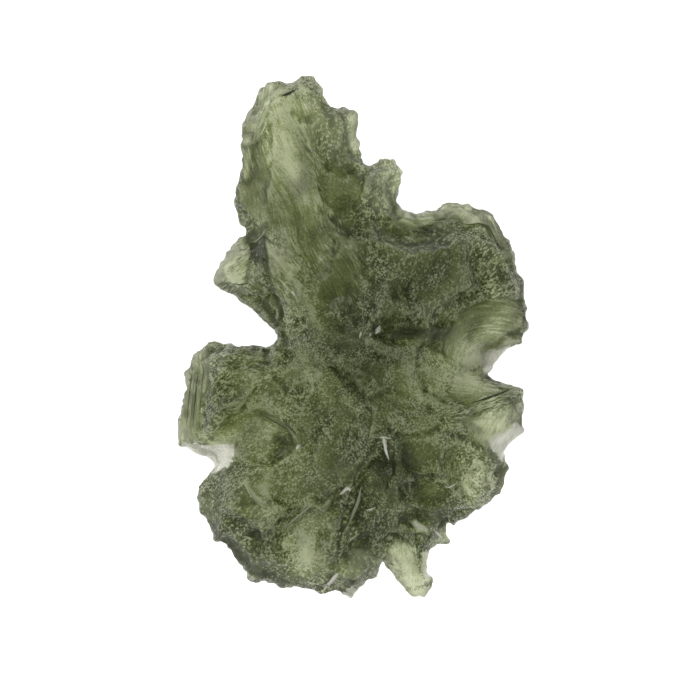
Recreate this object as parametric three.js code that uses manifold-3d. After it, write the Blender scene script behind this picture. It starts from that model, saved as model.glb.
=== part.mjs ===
// A moldavite: one piece of olive-green natural glass, 34 mm long, lying on its back.
// It is a flat, ragged splinter with lobes round a thick core. Washed troughs, dished hollows and small
// pits are etched into both faces, and they meet in sharp ridges. The edge runs out into thin flakes.
// Units are millimetres and +Z is up. X runs across the stone and Y along it, with the tall lobe at +Y.
// The origin lies under the middle of the stone, on the plane that its feet rest on.

import * as THREE from "three";
import { mergeVertices } from "three/addons/utils/BufferGeometryUtils.js";
import Module from "manifold-3d";

const wasm = await Module();
wasm.setup();

// Driving dimensions
const stoneLength = 34;
const stoneWidth = 22.8;
const blankHeight = 12; // taller than the stone at its thickest
const gridPitch = 1.4; // spacing of the points of the raw upper and lower faces
const rimHeight = 3.1; // middle of the thin edge above the resting plane
const rimWave = 0.35; // how far the edge wanders up and down
const usualRim = 0.8; // thickness of the edge where nothing else is said
const shoulderRun = 1.3; // how far in from the edge the stone thickens
const crownRise = 1.5; // least rise of the upper face above the edge
const bellyDrop = 1.7; // least drop of the lower face below the edge
const footPress = 0.5; // how much of each foot is worn flat
const footReach = 1.9;
const cutterReach = 3; // half height of a cutter, in depths of the hollow that it leaves
const cutterShare = Math.sqrt(1 - (1 - 1 / cutterReach) ** 2); // share of its girth that meets the face

// The outline from above, clockwise from the notch left of the tall lobe.
// A chipped run has straight breaks from point to point, and a washed run is one smooth curve.
const outlineRuns = [
  {
    part: "tall lobe, left flank",
    washed: true,
    points: [
      [-6.85, 6.8],
      [-7.5, 7.7],
      [-7.7, 8.9],
      [-7.5, 9.85],
      [-7.2, 10.8],
      [-7.2, 12.9],
      [-7.05, 14.25],
    ],
  },
  {
    part: "tall lobe, tip",
    washed: false,
    points: [
      [-6.55, 15.0],
      [-6.25, 15.6],
      [-5.95, 16.15],
      [-5.35, 16.6],
      [-4.85, 16.65],
      [-4.4, 16.5],
      [-3.7, 16.6],
      [-3.2, 16.85],
      [-2.65, 17.0],
      [-2.5, 16.7],
      [-2.2, 16.35],
      [-2.1, 15.85],
      [-1.6, 14.95],
      [-0.85, 14.85],
      [-0.5, 14.9],
      [-0.05, 14.5],
    ],
  },
  {
    part: "tall lobe, right flank",
    washed: false,
    points: [
      [0.15, 13.9],
      [0.2, 13.05],
      [0.4, 12.55],
      [0.35, 12.1],
      [0.4, 11.65],
      [0.55, 11.3],
      [1.0, 10.95],
    ],
  },
  {
    part: "nub",
    washed: false,
    points: [
      [1.4, 11.25],
      [1.95, 11.45],
      [2.7, 11.55],
      [3.0, 11.15],
      [3.15, 10.75],
      [3.0, 10.15],
      [2.9, 9.4],
      [2.8, 8.7],
    ],
  },
  {
    part: "bay beside the nub",
    washed: true,
    points: [
      [3.25, 8.25],
      [4.4, 8.05],
      [5.55, 8.2],
    ],
  },
  {
    part: "right shoulder",
    washed: false,
    points: [
      [5.85, 8.7],
      [6.15, 8.85],
      [6.65, 8.7],
      [7.7, 8.55],
      [8.85, 8.1],
      [9.3, 7.55],
      [9.7, 6.65],
      [10.15, 6.25],
      [10.45, 5.45],
      [10.55, 4.75],
      [10.8, 4.0],
      [11.0, 3.2],
      [11.1, 2.1],
      [11.4, 0.7],
      [10.95, 0.1],
      [11.1, -0.45],
      [10.5, -0.5],
      [9.85, -0.8],
      [9.3, -1.65],
      [9.1, -2.0],
      [8.5, -2.3],
    ],
  },
  {
    part: "right lobe",
    washed: false,
    points: [
      [9.65, -2.8],
      [10.55, -3.25],
      [11.1, -3.3],
      [11.1, -4.85],
      [11.15, -5.8],
      [11.05, -6.25],
      [10.35, -6.75],
      [9.75, -7.1],
      [9.7, -7.7],
    ],
  },
  {
    part: "lower right lobe",
    washed: false,
    points: [
      [9.95, -8.3],
      [10.15, -8.6],
      [9.95, -8.85],
      [9.8, -9.55],
      [9.5, -10.25],
      [9.15, -10.3],
      [8.3, -11.0],
      [7.85, -11.2],
      [7.4, -11.75],
      [6.8, -11.9],
      [6.1, -12.0],
      [6.05, -12.75],
    ],
  },
  {
    part: "spur",
    washed: false,
    points: [
      [6.35, -13.45],
      [5.4, -13.55],
      [4.9, -13.75],
    ],
  },
  {
    part: "leg",
    washed: false,
    points: [
      [4.7, -14.15],
      [4.7, -14.95],
      [4.8, -15.55],
      [5.1, -15.7],
      [4.9, -15.95],
      [5.1, -16.3],
      [4.7, -16.7],
      [3.9, -16.85],
      [3.4, -16.3],
      [2.6, -15.45],
      [2.1, -14.6],
      [1.75, -14.3],
    ],
  },
  {
    part: "foot lobe",
    washed: false,
    points: [
      [1.6, -14.85],
      [1.3, -15.6],
      [0.5, -16.2],
      [-0.2, -17.0],
      [-0.85, -16.6],
      [-1.05, -16.4],
      [-1.8, -16.8],
      [-2.15, -16.8],
      [-2.9, -16.3],
    ],
  },
  {
    part: "lower left lobe",
    washed: false,
    points: [
      [-4.05, -16.05],
      [-4.7, -16.25],
      [-5.6, -15.75],
      [-6.6, -15.6],
      [-7.0, -15.0],
      [-7.7, -14.25],
      [-8.35, -13.25],
      [-9.1, -13.1],
      [-9.2, -12.1],
      [-9.55, -11.65],
      [-9.9, -11.35],
      [-10.05, -10.7],
      [-10.35, -10.3],
      [-9.95, -9.7],
      [-9.2, -8.7],
      [-9.05, -8.2],
    ],
  },
  {
    part: "left lobe",
    washed: false,
    points: [
      [-9.1, -7.85],
      [-9.95, -7.6],
      [-10.85, -7.2],
      [-11.3, -7.1],
      [-11.4, -6.6],
      [-11.25, -5.7],
      [-11.1, -4.7],
      [-10.9, -3.3],
      [-10.85, -2.25],
      [-10.4, -1.35],
      [-9.9, -0.9],
      [-9.45, -0.4],
      [-9.2, -0.3],
      [-8.2, -0.45],
      [-7.15, -0.7],
      [-6.6, -0.6],
      [-5.7, -0.6],
    ],
  },
  {
    part: "deep left notch",
    washed: true,
    points: [
      [-5.05, -0.45],
      [-4.75, -0.1],
      [-5.0, 0.35],
      [-6.25, 1.6],
      [-7.3, 2.35],
      [-9.05, 3.45],
    ],
  },
  {
    part: "small left lobe",
    washed: false,
    points: [
      [-9.0, 3.8],
      [-8.8, 4.45],
      [-8.35, 5.35],
      [-7.75, 6.2],
    ],
  },
];

// Where the edge is a thin flake or a thick break. Each spot holds its thickness over its reach.
const rimSpots = [
  { part: "flake on the shoulder", x: 7.6, y: 8.2, reach: 1.7, thickness: 0.4 },
  { part: "flake in the right notch", x: 9.0, y: -1.7, reach: 1.3, thickness: 0.35 },
  { part: "flake under the left lobe", x: -10.0, y: -7.5, reach: 1.6, thickness: 0.35 },
  { part: "flake on the right lobe", x: 10.4, y: -6.3, reach: 1.5, thickness: 0.45 },
  { part: "flake on the foot lobe", x: -0.2, y: -16.8, reach: 1.1, thickness: 0.45 },
  { part: "flake right of the tall lobe", x: 0.1, y: 13.3, reach: 1.1, thickness: 0.6 },
  { part: "flake on the small left lobe", x: -8.4, y: 5.0, reach: 1.1, thickness: 0.6 },
  { part: "break left of the left lobe", x: -11.0, y: -4.0, reach: 3.0, thickness: 1.6 },
  { part: "break on the lower left lobe", x: -8.2, y: -13.8, reach: 3.0, thickness: 1.5 },
  { part: "break on the tall lobe", x: -3.6, y: 16.7, reach: 2.2, thickness: 1.3 },
  { part: "break right of the shoulder", x: 11.0, y: 3.0, reach: 2.6, thickness: 1.4 },
  { part: "break on the nub", x: 2.9, y: 11.0, reach: 1.2, thickness: 1.5 },
  { part: "break on the leg", x: 4.4, y: -16.6, reach: 1.0, thickness: 1.2 },
];

// Broad swellings of the upper face. Each is long by wide, turned from +X in degrees.
const crownLumps = [
  { part: "core", x: -0.8, y: 0.6, long: 7.4, wide: 5.6, turn: 80, rise: 2.7 },
  { part: "tall lobe", x: -3.4, y: 10.0, long: 6.5, wide: 3.0, turn: 108, rise: 0.9 },
  { part: "right shoulder", x: 6.6, y: 4.4, long: 4.6, wide: 3.6, turn: 60, rise: 1.6 },
  { part: "right lobe", x: 7.8, y: -4.4, long: 3.2, wide: 1.8, turn: -12, rise: 1.0 },
  { part: "lower right lobe", x: 5.6, y: -8.8, long: 3.8, wide: 2.6, turn: -30, rise: 1.7 },
  { part: "foot lobe", x: -0.6, y: -12.6, long: 3.4, wide: 2.4, turn: 80, rise: 1.4 },
  { part: "lower left lobe", x: -6.2, y: -11.6, long: 4.2, wide: 3.0, turn: 35, rise: 1.7 },
  { part: "left lobe", x: -7.8, y: -3.8, long: 3.6, wide: 3.0, turn: 80, rise: 1.7 },
  { part: "small left lobe", x: -6.6, y: 4.2, long: 2.2, wide: 1.4, turn: 60, rise: 0.8 },
];

// The flats that the stone rests on, spread round its centre of mass.
const feet = [
  { x: -2.6, y: 8.6 },
  { x: 5.6, y: 1.2 },
  { x: 1.6, y: -9.8 },
  { x: -5.6, y: -8.6 },
];

// Washed troughs and dished hollows in the upper face. Half lengths and widths, turned from +X in degrees.
const upperHollows = [
  { part: "long washed trough", x: -4.2, y: 11.0, long: 6.2, wide: 2.1, turn: 104, depth: 0.75 },
  { part: "trough's lower end", x: -2.4, y: 4.6, long: 5.0, wide: 2.1, turn: 120, depth: 0.7 },
  { part: "left flank groove", x: -6.7, y: 10.2, long: 4.2, wide: 1.1, turn: 82, depth: 0.5 },
  { part: "tip dish", x: -2.8, y: 15.3, long: 1.6, wide: 1.2, turn: 110, depth: 0.45 },
  { part: "frosted facet", x: -1.0, y: 12.7, long: 2.4, wide: 1.3, turn: 108, depth: 0.45 },
  { part: "dark hollow", x: -0.5, y: 9.3, long: 2.5, wide: 1.6, turn: 122, depth: 0.8 },
  { part: "nub groove", x: 2.1, y: 9.6, long: 2.0, wide: 0.8, turn: 80, depth: 0.4 },
  { part: "bay ledge", x: 4.4, y: 7.3, long: 2.6, wide: 1.3, turn: 4, depth: 0.8 },
  { part: "flake ledge", x: 7.8, y: 7.6, long: 2.8, wide: 1.2, turn: -22, depth: 0.9 },
  { part: "shoulder dish", x: 5.6, y: 4.6, long: 3.0, wide: 2.2, turn: 25, depth: 0.5 },
  { part: "shoulder corner", x: 9.3, y: 4.2, long: 2.8, wide: 1.4, turn: 108, depth: 0.55 },
  { part: "inner shoulder dish", x: 2.0, y: 5.8, long: 2.3, wide: 1.7, turn: 60, depth: 0.45 },
  { part: "rippled shell hollow", x: 8.4, y: 0.0, long: 3.8, wide: 2.6, turn: 38, depth: 1.0 },
  { part: "green pocket", x: 4.0, y: 0.3, long: 2.5, wide: 1.0, turn: -4, depth: 0.9 },
  { part: "core dish", x: 1.2, y: 3.0, long: 2.2, wide: 1.6, turn: 30, depth: 0.4 },
  { part: "core trough", x: -1.2, y: -1.2, long: 3.0, wide: 1.5, turn: -25, depth: 0.5 },
  { part: "waist dish", x: 3.0, y: -3.2, long: 2.6, wide: 1.7, turn: -15, depth: 0.5 },
  { part: "right lobe facet", x: 7.6, y: -3.3, long: 3.0, wide: 1.2, turn: -18, depth: 0.55 },
  { part: "right lobe shell", x: 9.4, y: -5.8, long: 2.4, wide: 1.8, turn: 50, depth: 0.7 },
  { part: "lower right window", x: 8.2, y: -9.1, long: 2.1, wide: 1.7, turn: -40, depth: 0.6 },
  { part: "lower right trough", x: 5.0, y: -8.0, long: 3.2, wide: 1.7, turn: -30, depth: 0.85 },
  { part: "lower right slope", x: 5.4, y: -10.6, long: 2.0, wide: 1.2, turn: -20, depth: 0.55 },
  { part: "spur window", x: 4.5, y: -12.0, long: 1.3, wide: 0.9, turn: -10, depth: 0.5 },
  { part: "great groove", x: 0.8, y: -10.6, long: 4.6, wide: 1.2, turn: 68, depth: 1.1 },
  { part: "groove's left arm", x: -1.5, y: -11.6, long: 3.0, wide: 0.8, turn: 62, depth: 0.6 },
  { part: "leg trough", x: 3.6, y: -14.9, long: 2.0, wide: 0.9, turn: 124, depth: 0.45 },
  { part: "foot facet", x: 0.3, y: -15.0, long: 1.9, wide: 1.1, turn: 72, depth: 0.45 },
  { part: "pale washed patch", x: -3.7, y: -13.4, long: 2.6, wide: 1.6, turn: 65, depth: 0.8 },
  { part: "lower left dish", x: -7.0, y: -10.6, long: 2.4, wide: 1.6, turn: 30, depth: 0.5 },
  { part: "lower left corner", x: -7.4, y: -13.2, long: 2.2, wide: 1.2, turn: -45, depth: 0.5 },
  { part: "spoon hollow", x: -6.3, y: -6.6, long: 3.5, wide: 1.9, turn: 4, depth: 0.95 },
  { part: "half-moon dish", x: -3.8, y: -9.4, long: 2.1, wide: 1.3, turn: -30, depth: 0.55 },
  { part: "left lobe dish", x: -7.5, y: -2.4, long: 2.5, wide: 1.5, turn: 12, depth: 0.5 },
  { part: "left edge facet", x: -10.6, y: -4.2, long: 3.6, wide: 1.1, turn: 86, depth: 0.7 },
  { part: "left waist dish", x: -4.2, y: -3.2, long: 2.2, wide: 1.6, turn: 50, depth: 0.5 },
  { part: "lower core dish", x: -1.4, y: -5.6, long: 2.8, wide: 2.0, turn: 80, depth: 0.5 },
  { part: "small lobe facet", x: -7.6, y: 4.4, long: 1.8, wide: 1.2, turn: 60, depth: 0.55 },
  { part: "notch pocket", x: -5.4, y: 1.8, long: 1.8, wide: 0.8, turn: -55, depth: 0.5 },
];

// Hollows in the lower face, clear of the feet. The wider ones thin the stone where light comes through.
const lowerHollows = [
  { part: "under the tall lobe", x: -4.5, y: 13.0, long: 3.2, wide: 2.1, turn: 104, depth: 0.9 },
  { part: "under the tall lobe's neck", x: -5.4, y: 6.4, long: 2.3, wide: 1.6, turn: 70, depth: 0.6 },
  { part: "under the dark hollow", x: 1.4, y: 6.8, long: 2.6, wide: 2.0, turn: 40, depth: 0.6 },
  { part: "under the shoulder", x: 8.0, y: 4.8, long: 2.8, wide: 2.2, turn: 70, depth: 0.7 },
  { part: "under the core", x: -0.8, y: 2.0, long: 3.4, wide: 2.6, turn: 60, depth: 0.7 },
  { part: "under the waist", x: 3.6, y: -4.4, long: 3.0, wide: 2.4, turn: -30, depth: 0.7 },
  { part: "under the right lobe", x: 8.6, y: -4.6, long: 2.4, wide: 1.9, turn: -20, depth: 0.6 },
  { part: "under the window", x: 7.2, y: -9.4, long: 2.3, wide: 1.8, turn: -35, depth: 0.8 },
  { part: "under the leg", x: 3.8, y: -14.2, long: 2.1, wide: 1.2, turn: 124, depth: 0.5 },
  { part: "under the foot lobe", x: -1.0, y: -14.2, long: 2.3, wide: 1.7, turn: 80, depth: 0.6 },
  { part: "under the pale patch", x: -5.0, y: -13.0, long: 2.8, wide: 2.0, turn: 30, depth: 0.9 },
  { part: "under the left lobe", x: -8.2, y: -3.6, long: 3.2, wide: 2.0, turn: 74, depth: 0.7 },
  { part: "under the lower core", x: -2.2, y: -4.6, long: 2.6, wide: 2.2, turn: 20, depth: 0.6 },
  { part: "under the small lobe", x: -6.8, y: 3.6, long: 1.8, wide: 1.3, turn: 40, depth: 0.5 },
  { part: "under the shell", x: 9.2, y: 0.6, long: 1.9, wide: 1.4, turn: 60, depth: 0.45 },
  { part: "under the neck", x: -1.6, y: 5.2, long: 1.8, wide: 1.5, turn: 10, depth: 0.45 },
  { part: "under the middle", x: 1.6, y: -1.4, long: 2.2, wide: 1.6, turn: -20, depth: 0.5 },
  { part: "under the left waist", x: -5.0, y: -1.8, long: 2.1, wide: 1.6, turn: 40, depth: 0.5 },
  { part: "under the groove", x: -1.8, y: -10.6, long: 1.7, wide: 1.3, turn: 75, depth: 0.45 },
  { part: "under the lower left edge", x: -8.8, y: -10.6, long: 1.9, wide: 1.3, turn: 100, depth: 0.45 },
  { part: "under the lower right lobe", x: 5.2, y: -7.4, long: 1.9, wide: 1.4, turn: -30, depth: 0.45 },
  { part: "under the bay", x: 4.6, y: 5.4, long: 1.9, wide: 1.6, turn: 10, depth: 0.5 },
];

// Small round pits, scattered the same way every time.
const pitCount = 6;
const pitReach = [0.6, 1.0];
const pitDepthShare = 0.35;
const pitEdgeRoom = 0.9; // least distance of a pit from the outline
const pitSlope = 0.7; // steepest face that a pit starts on
const pitSeed = 1947;

// Chips off the corners of the edge, by turns above and below, so that its walls lean and come to a ridge.
const chipSpacing = 4.1; // along the outline
const chipReach = [1.2, 1.8]; // half length along the edge
const chipWidth = 0.75; // half width across the edge
const chipBite = 0.32; // how much of the edge's thickness a chip takes
const chipSeed = 2903;

// The outline as one closed shape.
function outlineShape() {
  const shape = new THREE.Shape();
  outlineRuns.forEach((run, index) => {
    const [first, ...rest] = run.points.map(([x, y]) => new THREE.Vector2(x, y));
    if (index === 0) shape.moveTo(first.x, first.y);
    else shape.lineTo(first.x, first.y);
    if (run.washed) shape.splineThru(rest);
    else rest.forEach((point) => shape.lineTo(point.x, point.y));
  });
  shape.closePath();
  return shape;
}

const outline = outlineShape();
const outlineSegments = 2;
const outlinePoints = outline.getPoints(outlineSegments);

// Distance from a place to the outline, negative outside it.
function depthInside(x, y) {
  let nearest = Infinity;
  let inside = false;
  outlinePoints.forEach((a, i) => {
    const b = outlinePoints[(i + 1) % outlinePoints.length];
    const dx = b.x - a.x;
    const dy = b.y - a.y;
    const along = THREE.MathUtils.clamp(((x - a.x) * dx + (y - a.y) * dy) / (dx * dx + dy * dy || 1), 0, 1);
    nearest = Math.min(nearest, Math.hypot(x - a.x - along * dx, y - a.y - along * dy));
    if (a.y > y !== b.y > y && x < a.x + ((y - a.y) / (b.y - a.y)) * dx) inside = !inside;
  });
  return inside ? nearest : -nearest;
}

// A smooth bell that is 1 at its middle.
function bell(x, y, { x: midX, y: midY, long, wide, turn = 0 }) {
  const angle = THREE.MathUtils.degToRad(turn);
  const along = (x - midX) * Math.cos(angle) + (y - midY) * Math.sin(angle);
  const across = (y - midY) * Math.cos(angle) - (x - midX) * Math.sin(angle);
  return Math.exp(-((along / long) ** 2) - (across / wide) ** 2);
}

function rimThickness(x, y) {
  const hold = 6; // how firmly a spot overrules the usual edge
  let weight = 1;
  let sum = usualRim;
  for (const spot of rimSpots) {
    const share = hold * bell(x, y, { ...spot, long: spot.reach, wide: spot.reach });
    weight += share;
    sum += share * spot.thickness;
  }
  return sum / weight;
}

const rimMiddle = (x, y) => rimHeight + rimWave * (Math.sin(0.62 * x + 0.4) + Math.sin(0.47 * y - 0.31 * x));

// Half of the thickness on one side of the edge's middle, for a face that swells by so much.
function halfThickness(x, y, swelling) {
  const least = 0.05;
  const depth = depthInside(x, y);
  const share = depth > 0 ? 1 - Math.exp(-depth / shoulderRun) : depth / shoulderRun;
  return Math.max(least, rimThickness(x, y) / 2 + swelling * share);
}

function upperFace(x, y) {
  const rise = crownLumps.reduce((sum, lump) => sum + lump.rise * bell(x, y, lump), crownRise);
  return rimMiddle(x, y) + halfThickness(x, y, rise);
}

const bareLowerFace = (x, y) => rimMiddle(x, y) - halfThickness(x, y, bellyDrop);

function lowerFace(x, y) {
  const foot = (sum, { x: footX, y: footY }) =>
    sum +
    (bareLowerFace(footX, footY) + footPress) * bell(x, y, { x: footX, y: footY, long: footReach, wide: footReach });
  return bareLowerFace(x, y) - feet.reduce(foot, 0);
}

// A closed three.js geometry as a manifold-3d solid.
function solidFrom(geometry) {
  const bare = geometry.clone();
  bare.deleteAttribute("normal");
  bare.deleteAttribute("uv");
  const merged = mergeVertices(bare, 1e-4);
  return new wasm.Manifold(
    new wasm.Mesh({
      numProp: 3,
      vertProperties: merged.attributes.position.array,
      triVerts: new Uint32Array(merged.index.array),
    }),
  );
}

// The raw chunk between the two faces, cut to the outline.
function rawStone() {
  const across = Math.ceil((stoneWidth + 2) / gridPitch);
  const along = Math.ceil((stoneLength + 2) / gridPitch);
  const slab = new THREE.BoxGeometry(stoneWidth + 2, stoneLength + 2, blankHeight, across, along, 1);
  const position = slab.getAttribute("position");
  for (let i = 0; i < position.count; i += 1) {
    const face = position.getZ(i) > 0 ? upperFace : lowerFace;
    position.setZ(i, face(position.getX(i), position.getY(i)));
  }
  const prism = new THREE.ExtrudeGeometry(outline, {
    depth: blankHeight * 2,
    bevelEnabled: false,
    curveSegments: outlineSegments,
  });
  prism.translate(0, 0, -blankHeight);
  return solidFrom(slab).intersect(solidFrom(prism));
}

// A slightly uneven egg that leaves a dished hollow of the asked size where it meets a face.
function hollowCutter({ x, y, long, wide, turn = 0, depth }, face, side) {
  const wideOne = 1.8; // from this half length on a hollow is faceted more finely
  const egg = new THREE.IcosahedronGeometry(1, long > wideOne ? 2 : 1);
  const position = egg.getAttribute("position");
  const spot = new THREE.Vector3();
  for (let i = 0; i < position.count; i += 1) {
    spot.fromBufferAttribute(position, i);
    const wobble = Math.sin(3.1 * spot.x + x) * Math.sin(2.7 * spot.y + y) * Math.cos(2.3 * spot.z);
    spot.multiplyScalar(1 + 0.06 * wobble);
    position.setXYZ(i, spot.x, spot.y, spot.z);
  }
  egg.scale(long / cutterShare, wide / cutterShare, cutterReach * depth);
  egg.rotateZ(THREE.MathUtils.degToRad(turn));
  egg.translate(x, y, face(x, y) + side * (cutterReach - 1) * depth);
  return solidFrom(egg);
}

// Repeatable numbers from 0 to 1.
function scatter(seed) {
  let state = seed;
  return () => {
    state = (state * 16807) % 2147483647;
    return state / 2147483647;
  };
}

// Rise of a face over a millimetre, at its steepest.
const slope = (face, x, y) =>
  Math.hypot(face(x + 0.5, y) - face(x - 0.5, y), face(x, y + 0.5) - face(x, y - 0.5));

function pits() {
  const next = scatter(pitSeed);
  const made = [];
  while (made.length < pitCount) {
    const pit = {
      x: (next() - 0.5) * stoneWidth,
      y: (next() - 0.5) * stoneLength,
      upper: next() < 0.6,
    };
    const reach = pitReach[0] + next() * (pitReach[1] - pitReach[0]);
    const stretch = 1 + next() * 0.6;
    const turn = next() * 180;
    const onFoot = feet.some((foot) => Math.hypot(foot.x - pit.x, foot.y - pit.y) < footReach + reach);
    const steep = slope(pit.upper ? upperFace : lowerFace, pit.x, pit.y) > pitSlope;
    if (depthInside(pit.x, pit.y) < pitEdgeRoom || steep || (!pit.upper && onFoot)) continue;
    made.push({ ...pit, long: reach * stretch, wide: reach, turn, depth: reach * pitDepthShare });
  }
  return made;
}

function chips() {
  const next = scatter(chipSeed);
  const count = Math.round(outline.getLength() / chipSpacing);
  return Array.from({ length: count }, (_, index) => {
    const along = (index + 0.6 * next()) / count;
    const { x, y } = outline.getPointAt(along);
    const heading = outline.getTangentAt(along);
    const long = chipReach[0] + next() * (chipReach[1] - chipReach[0]);
    const turn = THREE.MathUtils.radToDeg(Math.atan2(heading.y, heading.x));
    return { x, y, upper: index % 2 === 0, long, wide: chipWidth, turn, depth: chipBite * rimThickness(x, y) };
  });
}

function stone() {
  const cutters = [
    ...upperHollows.map((hollow) => hollowCutter(hollow, upperFace, 1)),
    ...lowerHollows.map((hollow) => hollowCutter(hollow, lowerFace, -1)),
    ...[...pits(), ...chips()].map((pit) =>
      pit.upper ? hollowCutter(pit, upperFace, 1) : hollowCutter(pit, lowerFace, -1),
    ),
  ];
  const ground = new THREE.BoxGeometry(stoneWidth * 2, stoneLength * 2, blankHeight);
  ground.translate(0, 0, -blankHeight / 2);
  const etched = cutters.reduce((left, cutter) => left.subtract(cutter), rawStone());
  const { vertProperties, triVerts } = etched.subtract(solidFrom(ground)).getMesh();
  const geometry = new THREE.BufferGeometry();
  geometry.setAttribute("position", new THREE.BufferAttribute(vertProperties, 3));
  geometry.setIndex(new THREE.BufferAttribute(triVerts, 1));
  geometry.computeVertexNormals();
  return geometry;
}

const oliveGlass = new THREE.MeshStandardMaterial({ color: 0x6b7353, roughness: 0.35, metalness: 0 });

const moldavite = new THREE.Mesh(stone(), oliveGlass);
moldavite.name = "moldavite";

const group = new THREE.Group();
group.add(moldavite);
export default group;
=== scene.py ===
import math

import bmesh
import bpy
import numpy as np
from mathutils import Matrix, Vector, noise
from mathutils.bvhtree import BVHTree


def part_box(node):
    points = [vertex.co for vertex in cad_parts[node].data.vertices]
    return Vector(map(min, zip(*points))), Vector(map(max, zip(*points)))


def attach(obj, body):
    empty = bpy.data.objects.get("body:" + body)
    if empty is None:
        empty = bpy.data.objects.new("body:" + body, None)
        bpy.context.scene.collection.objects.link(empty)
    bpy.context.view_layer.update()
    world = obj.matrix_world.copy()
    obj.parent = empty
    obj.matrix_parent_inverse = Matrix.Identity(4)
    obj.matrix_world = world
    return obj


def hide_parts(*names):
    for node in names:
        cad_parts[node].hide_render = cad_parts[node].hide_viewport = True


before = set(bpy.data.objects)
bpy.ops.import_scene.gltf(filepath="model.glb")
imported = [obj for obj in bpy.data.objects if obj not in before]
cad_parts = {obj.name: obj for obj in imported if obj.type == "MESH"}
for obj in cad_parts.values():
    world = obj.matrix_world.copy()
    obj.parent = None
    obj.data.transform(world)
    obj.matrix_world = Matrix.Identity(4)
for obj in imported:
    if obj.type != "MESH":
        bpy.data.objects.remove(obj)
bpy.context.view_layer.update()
mm = 0.001
noise.seed_set(5)  # without it the wandering of the edges differs from run to run


def linear(hexColour):
    # sRGB hex to the linear values that Blender's sockets take
    parts = [int(hexColour[i:i + 2], 16) / 255 for i in (1, 3, 5)]
    return [p / 12.92 if p <= 0.04045 else ((p + 0.055) / 1.055) ** 2.4 for p in parts]


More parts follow.
